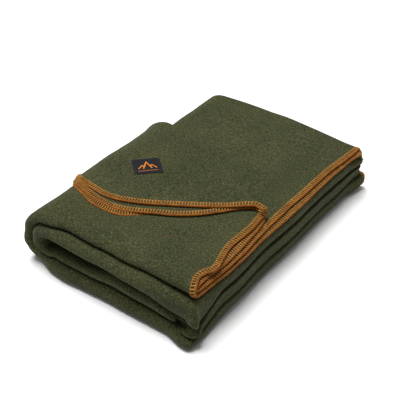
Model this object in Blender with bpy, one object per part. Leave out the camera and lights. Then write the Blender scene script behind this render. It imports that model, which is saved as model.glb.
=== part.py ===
"""Camp blanket, folded into a pile with one corner turned back.

Frame: +Z up, +Y along the long side of the pile, away from the end where the
whole strip turns over, and +X towards the side where the top fold's sewn edge
shows.  The origin is the centre of the pile's footprint, on the surface that
the pile lies on.  Metres.

The blanket is one cloth, sewn over along its four sides.  It is folded twice
along Y into a strip of four layers, and the strip is then rolled flat: top
fold, round the -X side, base fold, up the +X side, second fold, and inside
that the third fold.  The top fold's two upper layers are turned back over a
diagonal, which shows the label near the cloth's corner.  Each solid here is
the plain space that one folded stretch of cloth, or one run of sewing, takes.
"""
import math

import bmesh
import bpy
from mathutils import Vector

# ---- driving dimensions ------------------------------------------------------
HALF_LENGTH = 0.284          # half of the pile's long side, along Y
HALF_WIDTH = 0.191           # half of its short side, along X
GAP = 0.0003                 # clearance between solids that touch

BASE_TOP = 0.0220            # top of each fold in the stack, above the surface
THIRD_TOP = 0.0440
SECOND_LOW = 0.0560
SECOND_TOP = 0.0896
UNDER_TOP = 0.1050           # the top fold's two lower layers end here
UPPER_TOP = 0.1177           # and its two upper layers here
CORNER_TOP = 0.1297          # the turned corner, two layers more

WRAP_X = -0.1385             # where the flat folds meet the -X wraps
SIDE_X = 0.1500              # where they meet the +X wrap
THIRD_END_X = 0.1440         # the third fold's end, inside the +X wrap
UPPER_EDGE_X = 0.1720        # +X edge of the two upper layers
UPPER_BACK_X = -0.1650       # their -X end, on the outer wrap's shoulder
TOP_NEAR_Y = -0.2620         # near end of the top fold's flat layers
TOP_FAR_Y = 0.2680
INNER_NEAR_Y = -0.2800       # near end of the second and third folds
BACK_FAR_Y = 0.2800          # far end of the cloth, before its sewn edge

EDGE = 0.0042                # how far a run of edge sewing stands out
FOLD_START = Vector((0.1700, -0.0460, 0.0))   # the diagonal fold's +X end
FOLD_END = Vector((-0.1700, 0.1000, 0.0))     # and its -X end
FOLD_Z = 0.11785             # height of the fold line, just over the layers below

LABEL_CENTRE = (-0.0775, -0.0590)
LABEL_SIZE = (0.052, 0.051)
LABEL_THICKNESS = 0.0008
LABEL_ANGLE = math.radians(42.0)
THREAD = 0.0007              # label thread, standing on the label
THREAD_INSET = 0.0018
THREAD_WIDTH = 0.0016

WOOL = (0.082, 0.090, 0.050)
ORANGE = (0.52, 0.19, 0.045)
CHARCOAL = (0.035, 0.038, 0.045)


# ---- small tools -------------------------------------------------------------
def make_material(name, colour, roughness):
    material = bpy.data.materials.new(name)
    material.use_nodes = True
    shader = material.node_tree.nodes["Principled BSDF"]
    shader.inputs["Base Color"].default_value = (*colour, 1.0)
    shader.inputs["Roughness"].default_value = roughness
    shader.inputs["Metallic"].default_value = 0.0
    return material


def add_body(name, bm, material, origin=(0, 0, 0), parent=None, bevel=0.0, segments=3):
    """Turn a bmesh in world coordinates into an object with its origin at origin."""
    bmesh.ops.recalc_face_normals(bm, faces=bm.faces)
    bmesh.ops.translate(bm, verts=bm.verts, vec=-Vector(origin))
    mesh = bpy.data.meshes.new(name)
    bm.to_mesh(mesh)
    bm.free()
    mesh.materials.append(material)
    body = bpy.data.objects.new(name, mesh)
    bpy.context.scene.collection.objects.link(body)
    if parent is None:
        body.location = origin
    else:
        body.parent = parent
        body.location = Vector(origin) - parent.location
    if bevel:
        rounding = body.modifiers.new("rounding", "BEVEL")
        rounding.width = bevel
        rounding.segments = segments
        rounding.limit_method = "ANGLE"
        rounding.angle_limit = math.radians(50)
    mesh.shade_smooth()
    mesh.set_sharp_from_angle(angle=math.radians(50))
    return body


def prism(outline, low, high, axis="Z"):
    """A closed prism: the outline's two coordinates are the other two axes in order."""
    place = {"X": lambda u, v, w: (w, u, v),
             "Y": lambda u, v, w: (u, w, v),
             "Z": lambda u, v, w: (u, v, w)}[axis]
    bm = bmesh.new()
    ends = [[bm.verts.new(place(u, v, w)) for u, v in outline] for w in (low, high)]
    bm.faces.new(ends[0])
    bm.faces.new(ends[1])
    count = len(outline)
    for i in range(count):
        j = (i + 1) % count
        bm.faces.new((ends[0][i], ends[0][j], ends[1][j], ends[1][i]))
    return bm


def arc(centre, radius_u, radius_v, start, end, steps):
    """Points on an ellipse's arc, angles in degrees."""
    angles = [math.radians(start + (end - start) * i / steps) for i in range(steps + 1)]
    return [(centre[0] + radius_u * math.cos(a), centre[1] + radius_v * math.sin(a))
            for a in angles]


def box(low, high):
    return prism([(low[0], low[1]), (high[0], low[1]), (high[0], high[1]), (low[0], high[1])],
                 low[2], high[2])


def fold_y(x):
    """The diagonal fold's Y at a given X."""
    share = (x - FOLD_START.x) / (FOLD_END.x - FOLD_START.x)
    return FOLD_START.y + share * (FOLD_END.y - FOLD_START.y)


def strip(path, low, high, near, far):
    """A bar that follows a path in plan, from near to far to the right of the path."""
    points = [Vector(p) for p in path]

    def offset(index, distance):
        before = points[max(index - 1, 0)]
        after = points[min(index + 1, len(points) - 1)]
        along = (after - before).normalized()
        return points[index] + Vector((along.y, -along.x)) * distance

    inner = [offset(i, near) for i in range(len(points))]
    outer = [offset(i, far) for i in range(len(points))]
    return prism([tuple(p) for p in inner + outer[::-1]], low, high)


# ---- the cloth's folds -------------------------------------------------------
def build_flat_folds(wool):
    add_body("cloth_base_fold",
             box((WRAP_X + GAP, -HALF_LENGTH, 0.0), (SIDE_X - GAP, BACK_FAR_Y, BASE_TOP)),
             wool, bevel=0.008)
    add_body("cloth_third_fold",
             box((WRAP_X + GAP, INNER_NEAR_Y, BASE_TOP + GAP),
                 (THIRD_END_X, BACK_FAR_Y, THIRD_TOP)),
             wool, bevel=0.008)
    add_body("cloth_second_fold",
             box((WRAP_X + GAP, INNER_NEAR_Y, SECOND_LOW),
                 (SIDE_X - GAP, BACK_FAR_Y, SECOND_TOP - GAP)),
             wool, bevel=0.010)
    add_body("cloth_top_fold_lower",
             box((WRAP_X + GAP, TOP_NEAR_Y, SECOND_TOP),
                 (HALF_WIDTH - EDGE - GAP, TOP_FAR_Y, UNDER_TOP)),
             wool, bevel=0.004)
    upper = [(UPPER_BACK_X, TOP_NEAR_Y), (UPPER_EDGE_X, TOP_NEAR_Y),
             (UPPER_EDGE_X, fold_y(UPPER_EDGE_X)), (UPPER_BACK_X, fold_y(UPPER_BACK_X))]
    add_body("cloth_top_fold_upper", prism(upper, UNDER_TOP + GAP, UPPER_TOP), wool, bevel=0.003)


def build_wraps(wool):
    """The stretches where the strip turns over: three round Y, and one at the near end."""
    outer_z = UNDER_TOP / 2
    inner_z = (BASE_TOP + SECOND_TOP) / 2
    hollow_z = (THIRD_TOP + SECOND_LOW) / 2
    hollow = (SECOND_TOP - BASE_TOP) / 2
    steps = 14

    outer_wrap = (arc((WRAP_X, outer_z), HALF_WIDTH + WRAP_X, outer_z, 90, 270, steps)
                  + arc((WRAP_X, inner_z), 0.0285, hollow, 270, 90, steps))
    add_body("cloth_outer_wrap", prism(outer_wrap, -HALF_LENGTH, BACK_FAR_Y, "Y"), wool)

    inner_wrap = (arc((WRAP_X, inner_z), 0.0282, hollow - GAP, 90, 270, steps)
                  + arc((WRAP_X, hollow_z), 0.0070, hollow_z - THIRD_TOP, 270, 90, 8))
    add_body("cloth_inner_wrap", prism(inner_wrap, INNER_NEAR_Y, BACK_FAR_Y, "Y"), wool)

    round_low, round_high, wall = 0.020, 0.016, 0.022
    top = SECOND_TOP - GAP
    side_wrap = ([(SIDE_X, 0.0)]
                 + arc((HALF_WIDTH - round_low, round_low), round_low, round_low, 270, 360, 6)
                 + arc((HALF_WIDTH - round_high, top - round_high), round_high, round_high,
                       0, 90, 6)
                 + [(SIDE_X, top), (SIDE_X, SECOND_LOW)]
                 + arc((HALF_WIDTH - wall - 0.008, SECOND_LOW - 0.008), 0.008, 0.008, 90, 0, 3)
                 + arc((HALF_WIDTH - wall - 0.008, BASE_TOP + 0.008), 0.008, 0.008, 0, -90, 3)
                 + [(SIDE_X, BASE_TOP)])
    add_body("cloth_side_wrap", prism(side_wrap, INNER_NEAR_Y, BACK_FAR_Y, "Y"), wool)

    middle = (SECOND_TOP + UPPER_TOP) / 2
    radius = (UPPER_TOP - SECOND_TOP) / 2
    near_turn = arc((TOP_NEAR_Y - GAP, middle), radius, radius, 90, 270, 10)
    add_body("cloth_near_turn", prism(near_turn, WRAP_X + GAP, 0.180, "X"), wool)


def build_turned_corner(wool, orange, axis):
    """The corner that swings on the diagonal fold, and its two sewn edges."""
    low = UPPER_TOP + GAP
    side = [(0.1600, -0.0500), (0.0480, -0.1178), (-0.0060, -0.1500), (-0.0550, -0.1760),
            (-0.0980, -0.1780), (-0.1590, -0.1520)]
    end = [(-0.1640, -0.1440), (-0.1660, fold_y(-0.1660) - 0.002)]
    outline = [(0.1650, fold_y(0.1650))] + side + end
    hinge = axis.location
    add_body("cloth_turned_corner", prism(outline, low, CORNER_TOP), wool,
             origin=hinge, parent=axis, bevel=0.003)
    add_body("edge_sewing_corner_side",
             strip(side[::-1], low + 0.0004, CORNER_TOP - 0.0004, GAP, EDGE),
             orange, origin=hinge, parent=axis)
    add_body("edge_sewing_corner_end",
             strip(end[::-1], low + 0.0004, CORNER_TOP - 0.0004, GAP, EDGE),
             orange, origin=hinge, parent=axis)


# ---- sewing along the cloth's edges -------------------------------------------
def build_edge_sewing(orange):
    bars = {
        "edge_sewing_top_lower": ((HALF_WIDTH - EDGE, TOP_NEAR_Y, SECOND_TOP + 0.0004),
                                  (HALF_WIDTH, TOP_FAR_Y, UNDER_TOP - 0.0004)),
        "edge_sewing_top_upper": ((UPPER_EDGE_X + GAP, TOP_NEAR_Y, UNDER_TOP + 0.0006),
                                  (UPPER_EDGE_X + EDGE, -0.0500, UPPER_TOP - 0.0002)),
        "edge_sewing_inner_end": ((THIRD_END_X + GAP, INNER_NEAR_Y, BASE_TOP + 0.0010),
                                  (THIRD_END_X + EDGE, BACK_FAR_Y, THIRD_TOP - 0.0006)),
        "edge_sewing_far_base": ((WRAP_X, BACK_FAR_Y + GAP, 0.0006),
                                 (SIDE_X, HALF_LENGTH, 0.0110)),
        "edge_sewing_far_third": ((WRAP_X, BACK_FAR_Y + GAP, BASE_TOP + 0.0010),
                                  (THIRD_END_X, HALF_LENGTH, 0.0330)),
        "edge_sewing_far_second": ((WRAP_X, BACK_FAR_Y + GAP, 0.0735),
                                   (SIDE_X, HALF_LENGTH, SECOND_TOP - 0.0010)),
    }
    for name, (low, high) in bars.items():
        add_body(name, box(low, high), orange)

    middle = (SECOND_TOP + UPPER_TOP) / 2
    radius = (UPPER_TOP - SECOND_TOP) / 2 - 0.0004
    half_round = arc((TOP_NEAR_Y - GAP, middle), radius, radius, 90, 270, 10)
    add_body("edge_sewing_near_turn", prism(half_round, 0.180 + GAP, 0.180 + EDGE, "X"), orange)


# ---- label --------------------------------------------------------------------
def label_frame(points, low, high):
    """Rotate and place label points, given about the label's centre, as a prism."""
    cos_a, sin_a = math.cos(LABEL_ANGLE), math.sin(LABEL_ANGLE)
    placed = [(LABEL_CENTRE[0] + u * cos_a - v * sin_a, LABEL_CENTRE[1] + u * sin_a + v * cos_a)
              for u, v in points]
    return prism(placed, low, high)


def rectangle(half_u, half_v):
    return [(-half_u, -half_v), (half_u, -half_v), (half_u, half_v), (-half_u, half_v)]


def build_label(charcoal, thread, axis):
    low = CORNER_TOP + GAP
    top = low + LABEL_THICKNESS
    half_u, half_v = LABEL_SIZE[0] / 2, LABEL_SIZE[1] / 2
    add_body("woven_label", label_frame(rectangle(half_u, half_v), low, top), charcoal,
             origin=axis.location, parent=axis)

    far_u, far_v = half_u - THREAD_INSET, half_v - THREAD_INSET
    near_u, near_v = far_u - THREAD_WIDTH, far_v - THREAD_WIDTH
    outer = label_frame(rectangle(far_u, far_v), top + GAP, top + GAP + THREAD)
    inner = label_frame(rectangle(near_u, near_v), top - 0.001, top + 0.002)
    body = add_body("label_thread", outer, thread, origin=axis.location, parent=axis)
    cutter = add_body("label_thread_opening", inner, thread, origin=axis.location, parent=axis)
    cutter.hide_render = True
    cutter.display_type = "WIRE"
    opening = body.modifiers.new("opening", "BOOLEAN")
    opening.operation = "DIFFERENCE"
    opening.object = cutter
    opening.solver = "EXACT"


def main():
    for old in list(bpy.data.objects):
        bpy.data.objects.remove(old)
    wool = make_material("olive_wool", WOOL, 0.95)
    orange = make_material("orange_thread", ORANGE, 0.7)
    charcoal = make_material("charcoal_label", CHARCOAL, 0.8)
    label_thread = make_material("label_thread", (0.02, 0.022, 0.028), 0.6)

    axis = bpy.data.objects.new("corner_fold_axis", None)
    axis.location = (FOLD_START.x, FOLD_START.y, FOLD_Z)
    bpy.context.scene.collection.objects.link(axis)

    build_flat_folds(wool)
    build_wraps(wool)
    build_edge_sewing(orange)
    build_turned_corner(wool, orange, axis)
    build_label(charcoal, label_thread, axis)


main()
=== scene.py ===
"""Camp blanket, folded into a pile with one corner turned back: the visible model.

The cloth is one sheet.  A strip of four layers, folded along Y, is rolled flat in the XZ plane:
top fold, round the -X side, base fold, up the +X side, second fold, round the inner -X turn, and
the third fold inside.  A point of the cloth is found from its place along that roll, its place
across it, and its layer's height above the roll's middle line.  The whole pile is then settled:
each fold takes the height it has in the real pile, and the sides crease.  The top fold's two
upper layers are turned back over a diagonal.
"""
import math

import bpy
import numpy as np
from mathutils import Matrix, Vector


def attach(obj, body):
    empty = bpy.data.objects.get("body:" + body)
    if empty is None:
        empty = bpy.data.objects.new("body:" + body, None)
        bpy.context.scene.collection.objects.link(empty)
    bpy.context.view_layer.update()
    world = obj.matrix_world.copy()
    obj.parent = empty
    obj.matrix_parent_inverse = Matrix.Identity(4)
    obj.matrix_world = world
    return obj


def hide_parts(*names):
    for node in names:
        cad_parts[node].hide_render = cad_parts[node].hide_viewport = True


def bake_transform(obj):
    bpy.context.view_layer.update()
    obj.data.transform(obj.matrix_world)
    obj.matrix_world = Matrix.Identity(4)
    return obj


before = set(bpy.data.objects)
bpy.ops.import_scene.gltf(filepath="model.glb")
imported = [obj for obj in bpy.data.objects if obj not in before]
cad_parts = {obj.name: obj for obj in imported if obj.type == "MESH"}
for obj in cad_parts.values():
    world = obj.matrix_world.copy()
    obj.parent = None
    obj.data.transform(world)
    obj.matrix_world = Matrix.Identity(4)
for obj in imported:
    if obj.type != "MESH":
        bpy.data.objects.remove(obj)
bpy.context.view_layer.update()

# ---- sizes, in metres ----------------------------------------------------------
CLOTH = 0.0048                    # thickness of the felted wool
SEWN = 0.72                       # share of it left where the edge sewing binds it

WRAP_X = -0.1382                  # the flat folds end here at the -X side
INNER_X = -0.1290                 # and the inner turn starts here
SIDE_X = 0.1622                   # the +X side's turn starts here
SIDE_ROUND = 0.0143               # its corners' radius, at the strip's middle
THIRD_END_X = 0.1480              # the cloth's other end, inside the roll

TOP_Z, BASE_Z, SECOND_Z, THIRD_Z = 0.1035, 0.0113, 0.0752, 0.0340
TOP_PITCH, BASE_PITCH, SECOND_PITCH, THIRD_PITCH = 0.0078, 0.0058, 0.0080, 0.0064
SHOULDER_PITCH = 0.0071           # the layers lie closer where they go over the -X side
SIDE_PITCH = 0.0073
OUTER_RX = 0.0402                 # half width of the outer -X turn
INNER_RX = 0.0235

TOP_NEAR, BASE_NEAR, INNER_NEAR = -0.2600, -0.2710, -0.2680
TOP_SET_BACK, THIRD_SET_BACK = 0.0095, 0.0050
TOP_FAR, PILE_FAR = 0.2630, 0.2680
FREE_END = 0.2790                 # far sewn edges of the two outer layers
FREE_BEND = 0.2660                # they bend from here on

HANG_Q = -0.1850                  # how far round the outer turn the corner hangs
CORNER_Q = 0.1680                 # and its other end, at the sewn side
FLAP_PITCH = 0.0064               # spacing of the turned layers in their roll
HINGE_START = Vector((0.170, -0.046, 0.118))     # the straight line the corner swings on
HINGE_END = Vector((-0.170, 0.100, 0.118))
STITCH_PITCH = 0.0052
SEAM_WIDTH = 0.0094               # width of the sewing on each face
FLOOR_GAP = 0.0006                # cloth that would lie lower is eased to just over the floor
BLEND_TILT = math.radians(30)

# lengths that the grids' rows and columns are spaced by
TOP_LENGTH, LAYER_LENGTH, THIRD_LENGTH, FLAP_LENGTH = 0.305, 0.545, 0.27, 0.26
FAR_FROM_EDGE = 1.0


# ---- curves and small maths ------------------------------------------------------
def ramp(low, high, x):
    """0 at low, 1 at high, smooth between."""
    t = np.clip((np.asarray(x, float) - low) / (high - low), 0, 1)
    return t * t * (3 - 2 * t)


def bump(centre, width, x):
    return np.exp(-((np.asarray(x, float) - centre) / width) ** 2)


def smooth_curve(points, x):
    """A smooth curve through a few given points, flat beyond its ends."""
    px, py = (np.array(v, float) for v in zip(*points))
    slope = np.gradient(py, px)
    x = np.clip(np.asarray(x, float), px[0], px[-1])
    i = np.clip(np.searchsorted(px, x, side="right") - 1, 0, len(px) - 2)
    span = px[i + 1] - px[i]
    t = (x - px[i]) / span
    return ((1 + 2 * t) * (1 - t) ** 2 * py[i] + t * (1 - t) ** 2 * span * slope[i]
            + t * t * (3 - 2 * t) * py[i + 1] - t * t * (1 - t) * span * slope[i + 1])


def waves(points, seed, size):
    """Gentle unevenness, about -1 to 1, the same each run."""
    rng = np.random.default_rng(seed)
    total = np.zeros(len(points))
    for octave in range(3):
        for _ in range(4):
            direction = rng.normal(size=3)
            direction /= np.linalg.norm(direction)
            phase = rng.uniform(0, 2 * math.pi)
            reach = size / (1.9 ** octave) * rng.uniform(0.8, 1.25)
            total += np.sin(points @ direction * 2 * math.pi / reach + phase) / (1.7 ** octave)
    return total / 5


def normalise(v):
    return v / np.maximum(np.linalg.norm(v, axis=-1, keepdims=True), 1e-9)


def spaced(length, step, fine=(0, 0.0013, 0.0028, 0.0046, 0.0068, 0.0095, 0.0130)):
    """Places along a length, close together near its start and then even, as shares of it."""
    fine = np.array(fine)
    rest = np.linspace(fine[-1], length, max(int((length - fine[-1]) / step), 1) + 1)[1:]
    return np.concatenate([fine, rest]) / length


# ---- the roll's middle line ------------------------------------------------------
OFF_TOP = -9                      # reach of a row past the top fold and the outer turn


def top_pitch(q):
    return TOP_PITCH + (SHOULDER_PITCH - TOP_PITCH) * ramp(-0.03, -0.12, q)


def roll_rows():
    """Rows along the roll: share of the top fold still ahead, x, z, normal, pitch, near and far
    ends in y, and how far the row is along the top fold and round the outer turn."""
    rows = []

    def add(share, x, z, nx, nz, pitch, near, far, reach=OFF_TOP):
        rows.append((share, x, z, nx, nz, pitch, near, far, reach))

    for s in spaced(TOP_LENGTH, 0.0072):                                 # top fold
        q = WRAP_X + (1 - s) * (CORNER_Q - WRAP_X)
        near = TOP_NEAR + TOP_SET_BACK * ramp(-0.138, -0.085, q)
        add(1 - s, WRAP_X, TOP_Z, 0, 1, top_pitch(q), near, TOP_FAR, q)

    middle, rz = (TOP_Z + BASE_Z) / 2, (TOP_Z - BASE_Z) / 2              # outer turn
    reach, last = WRAP_X, (WRAP_X, TOP_Z)
    for t in np.linspace(0, 1, 49)[1:]:
        angle = math.pi * (0.5 + t)
        x, z = WRAP_X + OUTER_RX * math.cos(angle), middle + rz * math.sin(angle)
        nx, nz = math.cos(angle) / OUTER_RX, math.sin(angle) / rz
        size = math.hypot(nx, nz)
        reach -= math.dist(last, (x, z))
        last = (x, z)
        mix = ramp(0, 1, t)
        tight = SHOULDER_PITCH + (BASE_PITCH - SHOULDER_PITCH) * mix - 0.0012 * bump(0.52, 0.20, t)
        add(0, x, z, nx / size, nz / size, tight,
            TOP_NEAR + (BASE_NEAR - TOP_NEAR) * mix, TOP_FAR + (PILE_FAR - TOP_FAR) * mix, reach)

    for t in np.linspace(0, 1, 37)[1:]:                                  # base fold
        add(0, WRAP_X + (SIDE_X - WRAP_X) * t, BASE_Z, 0, -1, BASE_PITCH, BASE_NEAR, PILE_FAR)

    for t in np.linspace(0, 1, 36)[1:]:                                  # up the +X side
        angle = -math.pi / 2 + math.pi / 2 * t
        add(0, SIDE_X + SIDE_ROUND * math.cos(angle),
            BASE_Z + SIDE_ROUND + SIDE_ROUND * math.sin(angle), math.cos(angle),
            math.sin(angle), BASE_PITCH + (SIDE_PITCH - BASE_PITCH) * t, BASE_NEAR, PILE_FAR)
    low, high = BASE_Z + SIDE_ROUND, SECOND_Z - SIDE_ROUND
    for t in np.linspace(0, 1, 58)[1:-1]:
        add(0, SIDE_X + SIDE_ROUND, low + (high - low) * t, 1, 0, SIDE_PITCH,
            BASE_NEAR + (INNER_NEAR - BASE_NEAR) * t, PILE_FAR)
    for t in np.linspace(0, 1, 16):
        angle = math.pi / 2 * t
        add(0, SIDE_X + SIDE_ROUND * math.cos(angle), high + SIDE_ROUND * math.sin(angle),
            math.cos(angle), math.sin(angle), SIDE_PITCH + (SECOND_PITCH - SIDE_PITCH) * t,
            INNER_NEAR, PILE_FAR)

    for t in np.linspace(0, 1, 36)[1:]:                                  # second fold
        add(0, SIDE_X + (INNER_X - SIDE_X) * t, SECOND_Z, 0, 1, SECOND_PITCH, INNER_NEAR,
            PILE_FAR)

    middle, rz = (SECOND_Z + THIRD_Z) / 2, (SECOND_Z - THIRD_Z) / 2      # inner turn
    for t in np.linspace(0, 1, 29)[1:]:
        angle = math.pi * (0.5 + t)
        nx, nz = math.cos(angle) / INNER_RX, math.sin(angle) / rz
        size = math.hypot(nx, nz)
        add(0, INNER_X + INNER_RX * math.cos(angle), middle + rz * math.sin(angle), nx / size,
            nz / size, SECOND_PITCH + (THIRD_PITCH - SECOND_PITCH) * t, INNER_NEAR, PILE_FAR)

    length = THIRD_END_X - INNER_X
    for s in spaced(length, 0.0078)[-2::-1]:                             # third fold
        add(0, THIRD_END_X - length * s, THIRD_Z, 0, -1, THIRD_PITCH,
            INNER_NEAR + THIRD_SET_BACK, PILE_FAR)
    return np.array(rows)


ROWS = roll_rows()
SHARE, REACH = ROWS[:, 0], ROWS[:, 8]
OVER_TOP = REACH > -1


def on_top_roll(q, n):
    """X and Z of a point on the top fold, or past WRAP_X round the outer turn by arc length."""
    turn = ROWS[OVER_TOP & (SHARE == 0)][::-1]
    flat = q >= WRAP_X
    x0, z0, nx, nz = (np.interp(q, turn[:, 8], turn[:, k]) for k in (1, 2, 3, 4))
    return np.where(flat, q, x0 + nx * n), np.where(flat, TOP_Z + n, z0 + nz * n)


# ---- the diagonal fold and the sewn edges, in plan --------------------------------
def fold_line(q):
    """Y of the outermost line of the diagonal fold."""
    return smooth_curve([(HANG_Q, 0.096), (-0.138, 0.087), (-0.111, 0.082), (-0.059, 0.067),
                         (0.004, 0.038), (0.074, 0.002), (0.123, -0.022), (0.157, -0.034),
                         (0.170, -0.037)], q)


def corner_edge(q):
    """Y of the turned corner's sewn edge, its upper layer."""
    return smooth_curve([(HANG_Q, -0.121), (-0.168, -0.142), (-0.149, -0.1575), (-0.112, -0.167),
                         (-0.084, -0.1705), (-0.055, -0.168), (-0.030, -0.159), (-0.006, -0.146),
                         (0.022, -0.129), (0.048, -0.114), (0.075, -0.096), (0.101, -0.077),
                         (0.127, -0.056), (0.146, -0.043),
                         (0.170, -0.040)], q)


def lower_edge_lead(q):
    """How far the turned corner's lower layer shows past the upper one."""
    return smooth_curve([(HANG_Q, 0.007), (-0.149, 0.010), (-0.098, 0.0145), (-0.065, 0.017),
                         (-0.036, 0.0215), (0.014, 0.023), (0.056, 0.024), (0.082, 0.020),
                         (0.103, 0.010),
                         (0.125, 0.0), (0.170, 0.0)], q)


def fold_radius(q):
    """Fullness of the diagonal fold's roll, less where it goes over the pile's -X shoulder."""
    return 0.84 - 0.08 * bump(-0.150, 0.040, q)


def upper_radius(q):
    return (FLAP_PITCH / 2 + TOP_PITCH) * fold_radius(q)


# X of each layer's sewn edge on the +X side, by y
EDGE_X = {
    "a": [(-0.270, 0.182), (-0.235, 0.177), (-0.213, 0.178), (-0.184, 0.180), (-0.149, 0.180),
          (-0.109, 0.178), (-0.067, 0.175), (-0.040, 0.169)],
    "b": [(-0.270, 0.179), (-0.150, 0.185), (-0.038, 0.181), (0.030, 0.180), (0.096, 0.180),
          (0.174, 0.182), (0.262, 0.186)],
    "c": [(-0.270, 0.182), (-0.200, 0.186), (-0.100, 0.188), (0.262, 0.187)],
    "d": [(-0.268, 0.187), (-0.251, 0.178), (-0.232, 0.172), (-0.222, 0.175), (-0.212, 0.181),
          (-0.202, 0.182), (-0.190, 0.179), (-0.173, 0.174), (-0.153, 0.170), (-0.128, 0.169),
          (-0.106, 0.171), (-0.084, 0.172), (-0.060, 0.169), (-0.040, 0.168)],
}


def edge_x(layer, y):
    return smooth_curve(EDGE_X[layer], y)


# ---- settling the pile -------------------------------------------------------------
STACK = np.array([0.0, 0.0220, 0.0460, 0.0605, 0.0896, 0.1180, 0.30])    # the folds' limits as laid
LEFT = np.array([0.0, 0.0240, 0.0480, 0.0620, 0.0910, 0.1180, 0.30])     # and as settled
MIDDLE = np.array([0.0, 0.0345, 0.0630, 0.0645, 0.0900, 0.1180, 0.30])
FAR_CORNER = np.array([0.0, 0.0360, 0.0600, 0.0615, 0.0865, 0.1180, 0.30])
NEAR_X = (-0.13, -0.03, 0.02, 0.06, 0.10, 0.15, 0.18)
NEAR_SIDE = np.array([                                          # along the near side
    (0, 0, 0, 0, 0, 0, 0),
    (0.0305, 0.0310, 0.0335, 0.0325, 0.0315, 0.0280, 0.0215),
    (0.0490, 0.0545, 0.0600, 0.0595, 0.0560, 0.0470, 0.0395),
    (0.0725, 0.0720, 0.0705, 0.0680, 0.0620, 0.0490, 0.0410),
    (0.0985, 0.0985, 0.0985, 0.0980, 0.0960, 0.0930, 0.0900),
    (0.1180, 0.1180, 0.1180, 0.1180, 0.1180, 0.1180, 0.1180),
    (0.30, 0.30, 0.30, 0.30, 0.30, 0.30, 0.30)])
CORNER_SQUARE = 6.0               # power of the side's corners in profile: 2 is round


def squared(x, z):
    """Push the +X side's two corners out, from round to nearly square."""
    for centre_z, sign in ((BASE_Z + SIDE_ROUND, -1), (SECOND_Z - SIDE_ROUND, 1)):
        dx, dz = x - SIDE_X, (z - centre_z) * sign
        inside = (dx > 0) & (dz > 0) & (z < TOP_Z - 1.6 * TOP_PITCH)
        radius = np.hypot(dx, dz)
        c, s = dx / np.maximum(radius, 1e-9), dz / np.maximum(radius, 1e-9)
        grow = (np.abs(c) ** CORNER_SQUARE + np.abs(s) ** CORNER_SQUARE) ** (-1 / CORNER_SQUARE)
        x = np.where(inside, SIDE_X + dx * grow, x)
        z = np.where(inside, centre_z + dz * grow * sign, z)
    return x, z


def settle_heights(x, y, z):
    """Heights of the points once each fold takes its real height, and of the two side creases."""
    right = ramp(-0.125, -0.020, x)
    near = ramp(-0.190, -0.262, y)
    target = LEFT[:, None] * (1 - right) + MIDDLE[:, None] * right
    near_side = np.array([np.interp(x, NEAR_X, row) for row in NEAR_SIDE])
    target = target * (1 - near) + near_side * near
    far_corner = ramp(0.160, 0.262, y) * ramp(0.080, 0.165, x)
    target = target * (1 - far_corner) + FAR_CORNER[:, None] * far_corner
    low = np.clip(np.searchsorted(STACK, z, side="right") - 1, 0, len(STACK) - 2)
    share = (z - STACK[low]) / (STACK[low + 1] - STACK[low])
    column = np.arange(len(z))
    z = target[low, column] + share * (target[low + 1, column] - target[low, column])
    return z, target[1], (target[2] + target[3]) / 2


def crease_side(x, y, z, first, second):
    """The +X side: each fold bulges, and the side goes in sharply at the two creases."""
    wall = ramp(0.135, 0.180, x)
    below = ramp(0.098, 0.088, z)
    far_bulge = 0.0085 * (1 - 0.75 * bump(0.046, 0.011, z)) * ramp(0.215, 0.275, y)
    base_bulge = 0.003 * ramp(-0.15, -0.25, y) * ramp(0.05, 0.02, z)
    far_base_bulge = 0.003 * ramp(0.22, 0.28, y) * ramp(0.05, 0.02, z)
    x = x + wall * below * (far_bulge + base_bulge + far_base_bulge)

    near_tip = ramp(-0.258, -0.284, y) * wall
    between = ramp(0.0, 0.006, z - first) * ramp(0.0, 0.006, second - z)
    above = ramp(0.0, 0.004, z - second) * below
    x = x + near_tip * (0.010 * between + 0.013 * above)
    y = y + 0.014 * between * wall * ramp(-0.235, -0.272, y) + 0.003 * above * near_tip

    for crease, depth in ((first, 0.0170), (second, 0.0190)):
        drop = z - crease - 0.0004
        half_width = np.where(drop > 0, 0.0022, 0.0031)
        dent = wall * np.exp(-np.abs(drop / half_width) ** 2.6)
        x = x - depth * dent
        y = y - 0.010 * dent * (ramp(0.235, 0.275, y) - ramp(-0.225, -0.272, y))

    far_end = ramp(0.205, 0.27, y) * bump(0.0850, 0.0070, z) * ramp(0.0885, 0.0865, z)
    x = x - wall * 0.0130 * far_end
    x = x + wall * below * 0.0012 * np.sin(y * 38 + 1.0) * ramp(0.0, 0.03, z)
    return x, y


def spread_near_end(x, y, z):
    """The outer turn's near end sags and bulges low down, and the base's near corners spread."""
    drawn = ramp(-0.13, -0.17, x) * ramp(-0.10, -0.25, y)
    x = x + drawn * (-0.0190 * bump(0.020, 0.014, z) - 0.0045 * bump(0.048, 0.016, z)
                     + 0.0030 * bump(0.098, 0.012, z))
    low_near = ramp(-0.20, -0.27, y) * ramp(0.045, 0.020, z)
    y = y - low_near * (0.0050 * bump(-0.090, 0.030, x) + 0.0080 * ramp(0.13, 0.17, x)
                        - 0.0100 * ramp(-0.120, -0.165, x))
    return x, y


def droop_top(x, y, z):
    """The top goes down to its far +X corner and its -X side, and rounds off at its near side."""
    upper = ramp(0.075, 0.112, z)
    z = z - upper * 0.0025 * ramp(0.10, 0.19, x) * ramp(0.16, 0.27, y)
    z = z + upper * 0.0030 * ramp(-0.215, -0.275, y) * (2 * ramp(0.10, 0.18, x) - 1)
    z = z - upper * 0.0015 * ramp(-0.04, -0.17, x)
    z = z - upper * 0.0060 * ramp(-0.105, -0.165, x) * bump(0.030, 0.048, y)
    far = ramp(0.19, 0.27, y)
    y = y + upper * (0.0110 * bump(0.0, 0.12, x) - 0.0050 * ramp(-0.13, -0.17, x)) * far
    return y, z


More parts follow.
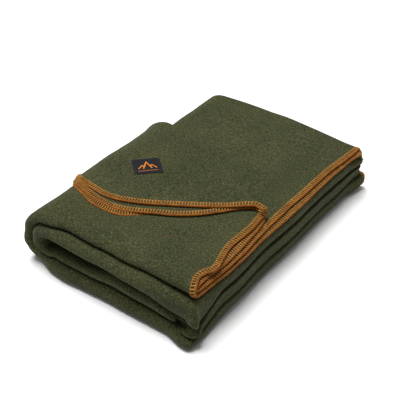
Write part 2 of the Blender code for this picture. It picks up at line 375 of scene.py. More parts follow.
def uneven(x, y, z):
    """Gentle waves, none at the bottom where the cloth lies flat."""
    free = ramp(0.006, 0.05, z)
    settled = np.stack([x, y, z], 1)
    side = ramp(0.14, 0.18, np.abs(x))
    x = x + 0.0014 * waves(settled, 3, 0.20) * side
    y = y + 0.0024 * waves(settled * (1, 1, 2.2), 5, 0.17) * ramp(0.18, 0.27, np.abs(y))
    z = z + 0.0019 * free * waves(settled * (1, 1, 0.3), 7, 0.19)
    return np.stack([x, y, z], 1)


def settle(points):
    """Move points of the laid-up pile to where the cloth's weight and springiness take them."""
    x, y, z = points.T
    x, z = squared(x, z)
    z, first, second = settle_heights(x, y, z)
    x, y = crease_side(x, y, z, first, second)
    x, y = spread_near_end(x, y, z)
    y, z = droop_top(x, y, z)
    far_base_lift = 0.0060 * ramp(0.160, 0.205, x) * ramp(0.225, 0.285, y)
    z = z + far_base_lift * ramp(0.045, 0.010, z)
    return uneven(x, y, z)


# ---- sheets as grids ----------------------------------------------------------------
def pile_columns():
    """Columns across the strip: which layer or turn each is on, and its share of it.

    The layers are d, a, b and c from the outside in.  The cloth goes from a's free end round the
    inner near turn to b, round the far turn to c, and round the outer near turn to d's free end."""
    columns = []
    even = spaced(LAYER_LENGTH, 0.0084)
    for kind in ("a", "near_in", "b", "far", "c", "near_out", "d"):
        if kind == "a":
            shares = even
        elif kind == "d":
            shares = 1 - even[::-1]
        elif kind in "bc":
            shares = np.linspace(0, 1, 66)
        else:
            shares = np.linspace(0, 1, 17 if kind == "near_out" else 11)[1:-1]
        columns += [(kind, t) for t in shares]
    return columns


def pile_grid():
    """The cloth of the pile as laid, and its thinning: rows along the roll, columns across it."""
    share, px, pz, nx, nz, pitch, near, far, reach = ROWS.T
    seam_y = fold_line(reach) - upper_radius(reach)
    swing = ramp(HANG_Q, REACH[OVER_TOP].min(), reach)
    free = np.where(OVER_TOP & (reach >= HANG_Q), seam_y,
                    np.where(OVER_TOP, seam_y + (FREE_END - seam_y) * swing, FREE_END))
    on_side = ramp(0.165, 0.180, px + nx * 0.012)
    lower = ramp(0.030, 0.020, pz)
    free = free + 0.004 * on_side * lower
    bend = np.where(OVER_TOP & (swing < 0.98), 0.0, 1.15 * on_side * (1 - lower) + 0.12)

    columns = pile_columns()
    grid = np.zeros((len(ROWS), len(columns), 3))
    for j, (kind, t) in enumerate(columns):
        if kind == "a":
            y, n = free + (near - free) * t, 0.5 * pitch
            x_edge = edge_x("a", y)
        elif kind == "near_in":
            turn = math.pi * t
            y, n = near - 0.55 * pitch * math.sin(turn), 0.5 * pitch * math.cos(turn)
            x_edge = edge_x("a", y) * (1 - t) + edge_x("b", y) * t
        elif kind == "b":
            y, n = near + (far - near) * t, -0.5 * pitch
            x_edge = edge_x("b", y)
        elif kind == "far":
            turn = math.pi * t
            y, n = far + 0.5 * pitch * math.sin(turn), -pitch + 0.5 * pitch * math.cos(turn)
            x_edge = edge_x("b", y) * (1 - t) + edge_x("c", y) * t
        elif kind == "c":
            y, n = far + (near - far) * t, -1.5 * pitch
            x_edge = edge_x("c", y)
        elif kind == "near_out":
            turn = math.pi * t
            y, n = near - 1.45 * pitch * math.sin(turn), -1.5 * pitch * math.cos(turn)
            x_edge = edge_x("c", y) * (1 - t) + edge_x("d", y) * t
        else:
            y, n = near + (free - near) * t, 1.5 * pitch
            x_edge = edge_x("d", y)
            over = np.maximum(y - FREE_BEND, 0)
            rate = np.maximum(bend, 1e-6) / 0.0080
            y = np.where(over > 0, FREE_BEND + np.sin(over * rate) / rate, y)
            n = np.where(over > 0, n - (1 - np.cos(over * rate)) / rate, n)
        grid[:, j, 0] = px + share * (x_edge - WRAP_X) + nx * n
        grid[:, j, 1] = y
        grid[:, j, 2] = pz + nz * n
    return grid, pile_thinning(columns)


def thinned(to_edge):
    """Share of the cloth's thickness left, less where the sewing binds its edge."""
    return SEWN + (1 - SEWN) * ramp(0, 0.009, to_edge)


def pile_thinning(columns):
    """The pile's thinning at its two ends along the roll and at its two free edges across it."""
    top_edge = np.where(SHARE > 0, (1 - SHARE) * TOP_LENGTH, FAR_FROM_EDGE)[:, None]
    from_end = np.arange(len(ROWS))[::-1, None] * 1.0
    end_places = spaced(THIRD_LENGTH, 0.0078)[:7] * THIRD_LENGTH
    end_edge = np.where(from_end < 8, np.interp(from_end, np.arange(7), end_places), FAR_FROM_EDGE)
    free = {"a": 0, "d": 1}
    across = np.array([abs(t - free[kind]) * LAYER_LENGTH if kind in free else FAR_FROM_EDGE
                       for kind, t in columns])[None, :]
    under_corner = (OVER_TOP & (REACH >= HANG_Q))[:, None]
    across = np.where(under_corner, FAR_FROM_EDGE, across)
    return thinned(np.minimum(np.minimum(top_edge, end_edge), across))


ROLL_CENTRE = 1.5 * TOP_PITCH + FLAP_PITCH / 2        # height of the diagonal roll's middle
ROLL_OFFSET = {"d": FLAP_PITCH / 2, "a": FLAP_PITCH / 2 + TOP_PITCH}
ROLL_STEPS = 15


def corner_height(layer, q, y):
    """Height of a turned layer above the strip's middle line, settling away from the fold."""
    pitch = top_pitch(q)
    rise = ROLL_OFFSET[layer] * fold_radius(q)
    inward = fold_line(q) - y
    loose = 1 - ramp(0, 1, inward / (0.055 - 0.025 * ramp(-0.06, -0.13, q)))
    trough = 0.0022 * bump(0.036, 0.016, inward) * bump(-0.065, 0.075, q)
    close = ramp(-0.02, -0.12, q)
    lower = 1.5 * pitch + CLOTH / 2 + 0.0033 + 0.0012 * ramp(0.00, -0.05, q)
    upper = lower + 0.0054 - 0.0023 * close
    settled = {"d": lower, "a": upper}[layer] - trough
    return settled + (ROLL_CENTRE + rise - settled) * loose


def corner_rows():
    """Rows from the sewn side to the hanging end."""
    length = CORNER_Q - WRAP_X
    top = CORNER_Q - spaced(length, 0.0060) * length
    hang = REACH[OVER_TOP & (SHARE == 0) & (REACH >= HANG_Q)]
    return np.concatenate([top, hang, [HANG_Q]])


def corner_grid(layer):
    """One turned layer as laid, and its thinning: rows from the sewn side, columns over the
    roll to the edge."""
    rows = corner_rows()
    low = ROLL_OFFSET[layer]
    roll_y = fold_line(rows) - upper_radius(rows)
    edge = corner_edge(rows) - lower_edge_lead(rows) * (layer == "d")
    edge = np.minimum(edge, roll_y - 0.0006)
    flat_shares = 1 - spaced(FLAP_LENGTH, 0.0075)[::-1]
    grid = np.zeros((len(rows), ROLL_STEPS + len(flat_shares) - 1, 3))
    distances = []
    for j in range(ROLL_STEPS):
        angle = math.pi * (j / (ROLL_STEPS - 1) - 0.5)
        top = corner_height(layer, rows, roll_y) - ROLL_CENTRE
        n = ROLL_CENTRE + np.where(math.sin(angle) < 0, low, top) * math.sin(angle)
        y = roll_y + low * fold_radius(rows) * math.cos(angle)
        x, z = on_top_roll(rows, n)
        grid[:, j] = np.stack([x, y, z], 1)
    for j, t in enumerate(flat_shares[1:]):
        y = roll_y + (edge - roll_y) * t
        x, z = on_top_roll(rows, corner_height(layer, rows, y))
        grid[:, ROLL_STEPS + j] = np.stack([x, y, z], 1)
        distances.append((roll_y - edge) * (1 - t))

    on_roll = np.full((len(rows), ROLL_STEPS), FAR_FROM_EDGE)
    to_edge = np.concatenate([on_roll, np.stack(distances, 1)], 1)
    thin_end = 1 - 0.38 * ramp(-0.05, -0.13, rows)[:, None] * ramp(0.10, 0.03, to_edge)
    if layer == "d":
        grid, to_edge, thin_end = turn_under(grid, to_edge, thin_end)
    turned = np.full(len(grid) - len(rows), -1.0)
    from_side = (CORNER_Q - np.concatenate([rows, turned]))[:, None]
    to_edge = np.minimum(to_edge, np.maximum(from_side, 0))
    return grid, thin_end * thinned(to_edge)


def turn_under(grid, to_edge, thin_end):
    """Carry the lower layer on: turned under at the hanging end, back below its own edge."""
    columns = grid.shape[1]
    share = np.clip((np.arange(columns) - ROLL_STEPS) / (columns - ROLL_STEPS - 1), 0, 1)
    back = 0.002 + 0.207 * ramp(0.50, 0.96, share)
    last_y = grid[-1, :, 1]
    top_n = corner_height("d", np.full(columns, HANG_Q), last_y)
    drop = 0.0033
    extra = []
    for angle in np.linspace(0, math.pi, 9)[1:]:
        q = np.full(columns, HANG_Q - drop * 0.9 * math.sin(angle))
        n = top_n - drop / 2 * (1 - math.cos(angle))
        x, z = on_top_roll(q, n)
        extra.append(np.stack([x, last_y, z], 1))
    for t in np.linspace(0, 1, 30)[1:]:
        q = HANG_Q + back * t
        edge = corner_edge(q) - lower_edge_lead(q) - 0.0040 - 0.0050 * ramp(-0.15, -0.09, q)
        edge = edge + 0.014 * ramp(-0.03, 0.02, q)
        line = fold_line(q) - upper_radius(q)
        y = np.where(share > 0, line + (edge - line) * share, last_y)
        n = corner_height("d", q, y) - drop - 0.0006 * t
        n = np.where(share > 0, n, top_n - drop)
        x, z = on_top_roll(q, n)
        extra.append(np.stack([x, y, z], 1))
    grid = np.concatenate([grid, np.array(extra)])
    more = len(extra)
    to_edge = np.concatenate([to_edge, np.repeat(to_edge[-1:], more, 0)])
    thin_end = np.concatenate([thin_end, np.repeat(thin_end[-1:] * 0.92, more, 0)])
    return grid, to_edge, thin_end


# ---- thick cloth from grids -----------------------------------------------------------
def grid_normals(grid):
    along = np.gradient(grid, axis=0)
    across = np.gradient(grid, axis=1)
    return normalise(np.cross(across, along))


def settled_grid(grid):
    return settle(grid.reshape(-1, 3)).reshape(grid.shape)


def thick_sheet(grid, thinning):
    """Vertices and faces of the closed, settled sheet around a laid grid."""
    normal = grid_normals(grid)
    half = CLOTH / 2 * thinning[..., None]
    middle = settled_grid(grid)
    skins = []
    for side in (1, -1):
        push = settled_grid(grid + normal * half * side) - middle
        size = np.linalg.norm(push, axis=-1, keepdims=True)
        skins.append((middle + push * np.minimum(1, half / np.maximum(size, 1e-9))).reshape(-1, 3))
    verts = np.concatenate(skins)
    rows, cols = grid.shape[:2]
    index = np.arange(rows * cols).reshape(rows, cols)
    upper = np.stack([index[:-1, :-1], index[1:, :-1], index[1:, 1:], index[:-1, 1:]],
                     -1).reshape(-1, 4)
    lower = upper[:, ::-1] + rows * cols
    rim = np.concatenate([index[0, :], index[1:, -1], index[-1, -2::-1], index[-2:0:-1, 0]])
    after = np.roll(rim, -1)
    sides = np.stack([rim, after, after + rows * cols, rim + rows * cols], 1)
    return verts, np.concatenate([upper, lower, sides])


def right_way_out(verts, faces):
    """The faces of a closed part, reversed if they look inwards."""
    corners = verts - verts.mean(axis=0)
    volume = 0.0
    for count in {len(face) for face in faces}:
        group = corners[np.array([face for face in faces if len(face) == count])]
        for k in range(1, count - 1):
            volume += np.sum(group[:, 0] * np.cross(group[:, k], group[:, k + 1]))
    return faces if volume > 0 else [face[::-1] for face in faces]


def new_mesh(name, parts, material):
    """One smooth object from a list of closed (vertices, faces) parts, resting on the floor."""
    verts, faces, offset = [], [], 0
    for v, f in parts:
        verts.append(v)
        faces += [tuple(int(i) + offset for i in face) for face in right_way_out(v, f)]
        offset += len(v)
    verts = np.concatenate(verts)
    z = verts[:, 2]
    verts[:, 2] = np.where(z < FLOOR_GAP, FLOOR_GAP * np.exp((z - FLOOR_GAP) / FLOOR_GAP), z)
    mesh = bpy.data.meshes.new(name)
    mesh.from_pydata(verts.tolist(), [], faces)
    mesh.validate()
    mesh.shade_smooth()
    obj = bpy.data.objects.new(name, mesh)
    bpy.context.scene.collection.objects.link(obj)
    mesh.materials.append(material)
    return obj


# ---- edge sewing ----------------------------------------------------------------------
def border(laid, thinning, side, start=0, stop=None):
    """A stretch of a settled grid's border: edge points, points inside, normals, thickness."""
    grid = settled_grid(laid)
    normals = grid_normals(grid)
    part = slice(start, stop)
    edge, inside, normal, thick = {
        "first_row": (grid[0, part], grid[2, part], normals[1, part], thinning[0, part]),
        "last_row": (grid[-1, part], grid[-3, part], normals[-2, part], thinning[-1, part]),
        "first_col": (grid[part, 0], grid[part, 2], normals[part, 1], thinning[part, 0]),
        "last_col": (grid[part, -1], grid[part, -3], normals[part, -2], thinning[part, -1]),
    }[side]
    return edge, edge - inside, normal, thick


def frames_along(run, step):
    """Evenly spaced frames: point, along, outward, normal, half thickness."""
    edge, toward, normal, thick = run
    gaps = np.linalg.norm(np.diff(edge, axis=0), axis=1)
    keep = np.concatenate([[True], gaps > 2e-5])
    edge, toward, normal, thick = edge[keep], toward[keep], normal[keep], thick[keep]
    travel = np.concatenate([[0], np.cumsum(np.linalg.norm(np.diff(edge, axis=0), axis=1))])
    at = np.linspace(0, travel[-1], max(int(round(travel[-1] / step)), 2) + 1)

    def resample(values):
        return np.stack([np.interp(at, travel, values[:, k]) for k in range(3)], 1)

    def smooth(values):
        for _ in range(3):
            values[1:-1] = (values[:-2] + values[1:-1] * 2 + values[2:]) / 4
        return values

    point = resample(edge)
    along = normalise(np.gradient(smooth(point.copy()), axis=0))
    normal = smooth(resample(normal))
    normal = normalise(normal - along * np.sum(normal * along, 1, keepdims=True))
    outward = np.cross(along, normal)
    toward = resample(normalise(toward))
    outward = outward * np.where(np.sum(outward * toward, 1, keepdims=True) < 0, -1, 1)
    half = np.interp(at, travel, thick) * CLOTH / 2
    return point, along, outward, normal, half


def sweep(rings):
    """A closed tube through rings of points, all with the same count."""
    count, sides = rings.shape[:2]
    index = np.arange(count * sides).reshape(count, sides)
    after = np.roll(index, -1, axis=1)
    walls = np.stack([index[:-1], index[1:], after[1:], after[:-1]], -1).reshape(-1, 4)
    return rings.reshape(-1, 3), [tuple(f) for f in walls] + [tuple(index[0]),
                                                              tuple(index[-1][::-1])]


def edge_cover(frames):
    """The closely wound thread round the cloth's edge, ribbed at each stitch."""
    point, along, outward, normal, half = frames
    half = half[:, None] + 0.0004
    rib = (1 + 0.09 * np.cos(np.arange(len(point)) * math.pi))[:, None]
    profile = [(-0.0030, 0.80), (-0.0010, 1.0)]
    profile += [(0.0016 * math.cos(a), math.sin(a)) for a in np.radians([65, 40, 14])]
    profile += [(u, -v) for u, v in profile[::-1]]
    rings = np.stack([point + outward * (u * rib) + normal * (v * half * (0.6 + 0.4 * rib))
                      for u, v in profile], 1)
    return sweep(rings)


def stitch_bars(frames, faces=(1, -1), sides=6):
    """Raised bars on the faces, from the edge to the needle line, and the thread joining them."""
    point, along, outward, normal, half = frames
    angles = np.arange(sides) * 2 * math.pi / sides
    stations = [(0.0006, -0.0004, 0.0009), (-0.0010, 0.0007, 0.00135),
                (-0.0050, 0.0010, 0.00150), (-SEAM_WIDTH + 0.0014, 0.0008, 0.00135),
                (-SEAM_WIDTH, -0.0002, 0.0008)]
    parts = []
    for face in faces:
        up = normal * face
        for k in range(len(point)):
            rings = []
            for depth, rise, radius in stations:
                lean = along[k] * 0.0008 * (1 + 2 * depth / SEAM_WIDTH)
                swell = CLOTH / 2 - half[k]
                lift = half[k] + rise + swell * ramp(0.001, 0.009, -depth)
                centre = point[k] + outward[k] * depth + up[k] * lift + lean
                rings.append([centre + along[k] * radius * math.cos(a)
                              + up[k] * radius * 0.85 * math.sin(a) for a in angles])
            parts.append(sweep(np.array(rings)))
        side = np.where(np.arange(len(point))[:, None] % 2 == 0, 1.0, -1.0)
        needle = (point - outward * (SEAM_WIDTH - 0.0016 + side * 0.0003)
                  + up * (CLOTH / 2 * 0.98 + 0.0002))
        rings = np.stack([needle + outward * 0.00085 * math.cos(a) + up * 0.0008 * math.sin(a)
                          for a in angles], 1)
        parts.append(sweep(rings))
    return parts


def sewing(name, runs, materials):
    """Edge sewing along several borders: the wound edge and its bars, as two objects."""
    wound = [edge_cover(frames_along(run, STITCH_PITCH / 2)) for run, _ in runs]
    bars = []
    for run, faces in runs:
        if faces:
            bars += stitch_bars(frames_along(run, STITCH_PITCH), faces)
    return [new_mesh(name + "_wound", wound, materials[0]),
            new_mesh(name + "_stitches", bars, materials[1])]


# ---- label ------------------------------------------------------------------------------
LABEL_CENTRE = (-0.0775, -0.0590)
LABEL_SIZE = (0.0520, 0.0510)
LABEL_ANGLE = math.radians(40.5)
LABEL_SKEW = 0.13                 # the soft cloth leaves the label a little out of square
LABEL_THICK = 0.0009


def on_label(u, v, lift):
    """A point on the label, u and v in metres from its middle, lifted off the cloth."""
    u, v, lift = np.broadcast_arrays(np.asarray(u, float), v, lift)
    u = u - LABEL_SKEW * v
    q = LABEL_CENTRE[0] + u * math.cos(LABEL_ANGLE) - v * math.sin(LABEL_ANGLE)
    y = LABEL_CENTRE[1] + u * math.sin(LABEL_ANGLE) + v * math.cos(LABEL_ANGLE)
    x, z = on_top_roll(q, corner_height("a", q, y) + CLOTH / 2 + lift)
    points = np.stack([x, y, z], -1)
    return settle(points.reshape(-1, 3)).reshape(points.shape)


def label_body(count=30):
    """The woven label: a thin sheet with rounded corners, its edges folded under and fuller."""
    t = np.linspace(-1, 1, count)
    v, u = np.meshgrid(t, t, indexing="ij")
    square = np.maximum(np.abs(u), np.abs(v))
    round_off = 1 - 0.030 * np.minimum(np.abs(u), np.abs(v)) ** 8
    u, v = u * round_off * LABEL_SIZE[0] / 2, v * round_off * LABEL_SIZE[1] / 2
    turned = 0.0004 * ramp(0.80, 0.88, square) - 0.0005 * ramp(0.965, 1.0, square)
    upper = on_label(u, v, LABEL_THICK + turned).reshape(-1, 3)
    lower = on_label(u, v, -0.0010).reshape(-1, 3)
    index = np.arange(count * count).reshape(count, count)
    top = np.stack([index[:-1, :-1], index[:-1, 1:], index[1:, 1:], index[1:, :-1]],
                   -1).reshape(-1, 4)
    rim = np.concatenate([index[0, :], index[1:, -1], index[-1, -2::-1], index[-2:0:-1, 0]])
    after = np.roll(rim, -1)
    sides = np.stack([after, rim, rim + count * count, after + count * count], 1)
    return np.concatenate([upper, lower]), np.concatenate([top, top[:, ::-1] + count * count,
                                                           sides])


def thread_path(ends, radius, lift, steps=7, sides=6):
    """A thread laid on the label from one place to another, its ends sunk in."""
    (u0, v0), (u1, v1) = ends
    t = np.linspace(0, 1, steps)
    path = on_label(u0 + (u1 - u0) * t, v0 + (v1 - v0) * t,
                    lift + LABEL_THICK - radius * 1.2 * (1 - np.sin(math.pi * t) ** 0.3))
    along = normalise(np.gradient(path, axis=0))
    up = np.array([0, 0, 1.0]) - along * along[:, 2:3]
    up = normalise(up)
    side = np.cross(along, up)
    angles = np.arange(sides) * 2 * math.pi / sides
    rings = np.stack([path + side * radius * math.cos(a) + up * radius * math.sin(a)
                      for a in angles], 1)
    return sweep(rings)


def label_stitches():
    """Running stitches round the label, a little inside its edge."""
    parts = []
    half_u, half_v = LABEL_SIZE[0] / 2 - 0.0028, LABEL_SIZE[1] / 2 - 0.0028
    corners = [(-half_u, -half_v), (half_u, -half_v), (half_u, half_v), (-half_u, half_v)]
    for first, second in zip(corners, corners[1:] + corners[:1]):
        count = 15
        for k in range(count):
            low, high = (k + 0.14) / count, (k + 0.86) / count
            parts.append(thread_path([(first[0] + (second[0] - first[0]) * t,
                                       first[1] + (second[1] - first[1]) * t)
                                      for t in (low, high)], 0.00034, 0.0005))
    return parts


def label_mark():
    """A plain embroidered mark: three peaks over a dashed ground line, in satin stitch."""
    unit = 0.00112
    parts = []

    def stroke(first, second, width):
        first, second, width = np.array(first) * unit, np.array(second) * unit, width * unit
        length = np.linalg.norm(second - first)
        forward = (second - first) / length
        across = np.array([-forward[1], forward[0]])
        lean = forward * 0.0004
        count = int(length / 0.00055)
        for k in range(count + 1):
            middle = first + forward * length * k / count
            parts.append(thread_path([middle - across * width / 2 - lean,
                                      middle + across * width / 2 + lean], 0.00036, 0.00012, 5, 5))

    for first, second, width in [((-15, -7), (-8, 3), 2.3), ((-8, 3), (-4.5, -2), 2.3),
                                 ((-7, -7), (0, 12), 2.6), ((0, 12), (7, -7), 2.6),
                                 ((4.5, -2), (8, 3), 2.3), ((8, 3), (15, -7), 2.3)]:
        stroke(first, second, width)
    for k in range(9):
        start = -16 + k * 3.7
        stroke((start, -14), (start + 2.4, -14), 1.1)
    return parts


# ---- materials --------------------------------------------------------------------------
class Nodes:
    """Short ways to add and join shader nodes."""

    def __init__(self, name):
        self.material = bpy.data.materials.new(name)
        self.material.use_nodes = True
        self.tree = self.material.node_tree
        self.shader = self.tree.nodes["Principled BSDF"]
        self.place = self.tree.nodes.new("ShaderNodeTexCoord").outputs["Object"]

    def join(self, source, target):
        self.tree.links.new(source, target)

    def turned(self, angle, stretch):
        mapping = self.tree.nodes.new("ShaderNodeMapping")
        mapping.inputs["Rotation"].default_value = (0, 0, angle)
        mapping.inputs["Scale"].default_value = stretch
        self.join(self.place, mapping.inputs["Vector"])
        return mapping.outputs["Vector"]

    def noise(self, scale, detail=2.0, roughness=0.5, source=None):
        node = self.tree.nodes.new("ShaderNodeTexNoise")
        node.inputs["Scale"].default_value = scale
        node.inputs["Detail"].default_value = detail
        node.inputs["Roughness"].default_value = roughness
        self.join(source or self.place, node.inputs["Vector"])
        return node.outputs["Fac"]

    def wave(self, scale, source, direction="X"):
        node = self.tree.nodes.new("ShaderNodeTexWave")
        node.bands_direction = direction
        node.inputs["Scale"].default_value = scale
        node.inputs["Distortion"].default_value = 0.6
        self.join(source, node.inputs["Vector"])
        return node.outputs["Fac"]

    def ramp(self, source, stops):
        node = self.tree.nodes.new("ShaderNodeValToRGB")
        elements = node.color_ramp.elements
        while len(elements) < len(stops):
            elements.new(0.5)
        for element, (place, colour) in zip(elements, stops):
            element.position = place
            element.color = (*colour, 1)
        self.join(source, node.inputs["Fac"])
        return node.outputs["Color"]

    def mix(self, factor, first, second, blend="MIX"):
        node = self.tree.nodes.new("ShaderNodeMix")
        node.data_type = "RGBA"
        node.blend_type = blend
        colours = [s for s in node.inputs if s.type == "RGBA"]
        if isinstance(factor, (int, float)):
            node.inputs[0].default_value = factor
        else:
            self.join(factor, node.inputs[0])
        for socket, value in zip(colours, (first, second)):
            if isinstance(value, tuple):
                socket.default_value = (*value, 1)
            else:
                self.join(value, socket)
        return next(s for s in node.outputs if s.type == "RGBA")

    def bump(self, layers):
        """Stack bumps: (height output, strength, distance in metres)."""
        normal = None
        for height, strength, distance in layers:
            node = self.tree.nodes.new("ShaderNodeBump")
            node.inputs["Strength"].default_value = strength
            node.inputs["Distance"].default_value = distance
            self.join(height, node.inputs["Height"])
            if normal is not None:
                self.join(normal, node.inputs["Normal"])
            normal = node.outputs["Normal"]
        self.join(normal, self.shader.inputs["Normal"])

    def finish(self, colour, roughness, sheen=0.0, tint=(1, 1, 1), sheen_roughness=0.5):
        self.join(colour, self.shader.inputs["Base Color"])
        self.shader.inputs["Roughness"].default_value = roughness
        self.shader.inputs["Specular IOR Level"].default_value = 0.06
        self.shader.inputs["Sheen Weight"].default_value = sheen
        self.shader.inputs["Sheen Roughness"].default_value = sheen_roughness
        self.shader.inputs["Sheen Tint"].default_value = (*tint, 1)
        return self.material


def wool_material():
    m = Nodes("felted_wool")
    heather = m.ramp(m.noise(340, 3, 0.75), [(0.34, (0.014, 0.017, 0.006)),
                                             (0.47, (0.033, 0.037, 0.015)),
                                             (0.57, (0.049, 0.052, 0.024)),
                                             (0.70, (0.105, 0.102, 0.055))])
    rust = m.ramp(m.noise(190, 2, 0.6, m.turned(0.4, (1, 0.6, 1))),
                  [(0.60, (0, 0, 0)), (0.72, (0.6, 0.6, 0.6))])
    colour = m.mix(rust, heather, (0.080, 0.043, 0.014))
    patch = m.ramp(m.noise(11, 3, 0.55), [(0.36, (0.86, 0.87, 0.88)), (0.64, (1.10, 1.09, 1.04))])
    colour = m.mix(1.0, colour, patch, "MULTIPLY")
    m.bump([(m.noise(95, 3, 0.6), 0.40, 0.0012), (m.noise(380, 3, 0.65), 0.55, 0.0007),
            (m.noise(1000, 3, 0.7, m.turned(0.3, (1, 0.3, 1))), 0.6, 0.0003)])
    return m.finish(colour, 0.95, 0.11, (0.85, 0.90, 0.66), 0.45)


def thread_material(name, dark, light, scale=520):
    m = Nodes(name)
    shade = m.ramp(m.noise(scale, 3, 0.65), [(0.34, dark), (0.64, light)])
    soil = m.ramp(m.noise(60, 2, 0.5), [(0.35, (0.80, 0.78, 0.76)), (0.62, (1.06, 1.05, 1.04))])
    shade = m.mix(1.0, shade, soil, "MULTIPLY")
    m.bump([(m.wave(420, m.turned(0.8, (1, 1, 1))), 0.35, 0.0003),
            (m.noise(scale * 1.6, 3, 0.65), 0.5, 0.0004)])
    return m.finish(shade, 0.78, 0.08, (1.0, 0.75, 0.5), 0.5)


def label_material():
    m = Nodes("woven_label_cloth")
    weave = m.turned(-LABEL_ANGLE, (1, 1, 1))
    rib = m.wave(480, weave, "X")
    cross = m.wave(480, weave, "Y")
    yarn = m.ramp(m.noise(900, 2, 0.6), [(0.35, (0.007, 0.008, 0.010)),
                                         (0.65, (0.016, 0.018, 0.022))])
    shade = m.ramp(rib, [(0.2, (0.75, 0.75, 0.75)), (0.8, (1.15, 1.15, 1.15))])
    colour = m.mix(1.0, yarn, shade, "MULTIPLY")
    m.bump([(rib, 0.5, 0.0003), (cross, 0.4, 0.0002), (m.noise(1100, 2, 0.6), 0.4, 0.0002)])
    return m.finish(colour, 0.70, 0.05, (0.8, 0.8, 0.9), 0.5)


# ---- stage --------------------------------------------------------------------------------
def build_stage():
    mesh = bpy.data.meshes.new("studio_floor")
    half = 6.0
    mesh.from_pydata([(-half, -half, -0.0004), (half, -half, -0.0004), (half, half, -0.0004),
                      (-half, half, -0.0004)], [], [(0, 1, 2, 3)])
    floor = bpy.data.objects.new("studio_floor", mesh)
    bpy.context.scene.collection.objects.link(floor)
    paper = bpy.data.materials.new("studio_paper")
    paper.use_nodes = True
    shader = paper.node_tree.nodes["Principled BSDF"]
    shader.inputs["Base Color"].default_value = (0.80, 0.80, 0.80, 1)
    shader.inputs["Roughness"].default_value = 0.9
    shader.inputs["Specular IOR Level"].default_value = 0.0
    mesh.materials.append(paper)


def view_direction(azimuth, elevation):
    """The unit vector that points from the blanket to a place at these angles, in degrees."""
    a, e = math.radians(azimuth), math.radians(elevation)
    return Vector((math.sin(a) * math.cos(e), -math.cos(a) * math.cos(e), math.sin(e)))


def build_light():
    world = bpy.data.worlds.new("studio")
    world.use_nodes = True
    world.node_tree.nodes["Background"].inputs["Color"].default_value = (1, 1, 1, 1)
    world.node_tree.nodes["Background"].inputs["Strength"].default_value = 0.27
    bpy.context.scene.world = world
    light = bpy.data.lights.new("soft_key", "SUN")
    light.energy = 4.6
    light.angle = math.radians(34)
    lamp = bpy.data.objects.new("soft_key", light)
    lamp.rotation_euler = view_direction(-95, 78).to_track_quat("Z", "Y").to_euler()
    bpy.context.scene.collection.objects.link(lamp)


def build_camera():
    target = Vector((-0.0005, -0.0010, 0.0500))
    back = view_direction(36.4, 36.7)
    data = bpy.data.cameras.new("camera")
    data.sensor_width = 36.0
    data.lens = 81.0
    camera = bpy.data.objects.new("camera", data)
    camera.location = target + back * 1.69
    camera.rotation_euler = back.to_track_quat("Z", "Y").to_euler()
    bpy.context.scene.collection.objects.link(camera)
    bpy.context.scene.camera = camera


# ---- the blanket ----------------------------------------------------------------------------
def claim(objects, body, nodes):
    """The objects take a body and stand for the CAD nodes given, which are hidden.

    A body of "fold" is cloth that bends from the pile to the swinging corner: it takes no body and
    stays where it was built."""
    along = (HINGE_END - HINGE_START).normalized()
    onward = Vector((-along.y, along.x, 0)) * math.cos(BLEND_TILT)
    onward.z = math.sin(BLEND_TILT)
    for obj in objects:
        if body == "fold":
            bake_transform(obj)
        else:
            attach(obj, body)
    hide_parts(*nodes)


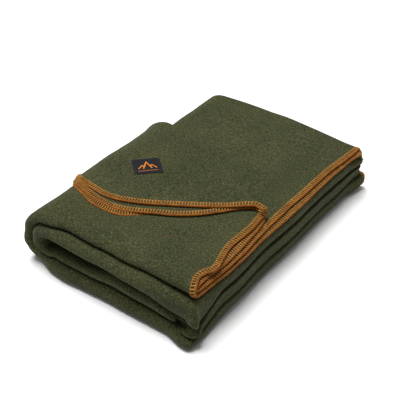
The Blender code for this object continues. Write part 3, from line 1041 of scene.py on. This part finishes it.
def build_pile(wool, threads):
    laid, thinning = pile_grid()
    cloth = new_mesh("blanket_cloth", [thick_sheet(laid, thinning)], wool)
    claim([cloth], "pile",
          ["cloth_base_fold", "cloth_third_fold", "cloth_second_fold", "cloth_top_fold_lower",
           "cloth_top_fold_upper", "cloth_outer_wrap", "cloth_inner_wrap", "cloth_side_wrap",
           "cloth_near_turn"])
    hang = int(np.sum(OVER_TOP & (REACH >= HANG_Q)))
    both = (1, -1)
    columns = pile_columns()
    hidden = sum(1 for kind, _ in columns if kind == "a")
    runs = [(border(laid, thinning, "first_row"), both),
            (border(laid, thinning, "first_col", hang), both),
            (border(laid, thinning, "last_col", hang), both),
            (border(laid, thinning, "last_row", 2, hidden - 4), ())]
    sewn = sewing("edge_sewing_pile", runs, threads)
    claim(sewn, "pile",
          ["edge_sewing_top_lower", "edge_sewing_top_upper", "edge_sewing_near_turn",
           "edge_sewing_inner_end", "edge_sewing_far_base", "edge_sewing_far_third",
           "edge_sewing_far_second"])
    return cloth, sewn


def build_corner(wool, threads):
    parts, runs = [], []
    for layer in "da":
        laid, thinning = corner_grid(layer)
        parts.append(thick_sheet(laid, thinning))
        runs.append((border(laid, thinning, "last_col"), (1, -1)))
        runs.append((border(laid, thinning, "first_row"), (1, -1)))
        runs.append((border(laid, thinning, "last_row"), (1,)))
    corner = new_mesh("blanket_corner", parts, wool)
    claim([corner], "fold", ["cloth_turned_corner"])
    sewn = sewing("edge_sewing_corner", runs, threads)
    claim(sewn, "fold", ["edge_sewing_corner_side", "edge_sewing_corner_end"])
    return corner, sewn


def build_label():
    label = new_mesh("label_woven", [label_body()], label_material())
    claim([label], "corner", ["woven_label"])
    dark = thread_material("label_stitch_thread", (0.020, 0.021, 0.024), (0.05, 0.052, 0.058), 900)
    stitches = new_mesh("label_stitching", label_stitches(), dark)
    claim([stitches], "corner", ["label_thread"])
    orange = thread_material("label_mark_thread", (0.42, 0.125, 0.016), (0.78, 0.27, 0.040), 900)
    mark = new_mesh("label_mark", label_mark(), orange)
    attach(mark, "corner")
    return label, [stitches, mark]


def main():
    bpy.context.scene.view_settings.view_transform = "Standard"
    build_camera()
    build_stage()
    build_light()
    wool = wool_material()
    # the wound edge's thread is a darker, redder copy of the bars' orange thread: painted shade for
    # the gaps between the bars
    threads = (thread_material("edge_thread_wound_painted_shade", (0.13, 0.040, 0.006), (0.32, 0.112, 0.017)),
               thread_material("edge_thread_stitches", (0.17, 0.072, 0.015), (0.40, 0.205, 0.052)))
    cloth, sewn = build_pile(wool, threads)
    corner, corner_sewn = build_corner(wool, threads)
    label, label_pieces = build_label()


main()
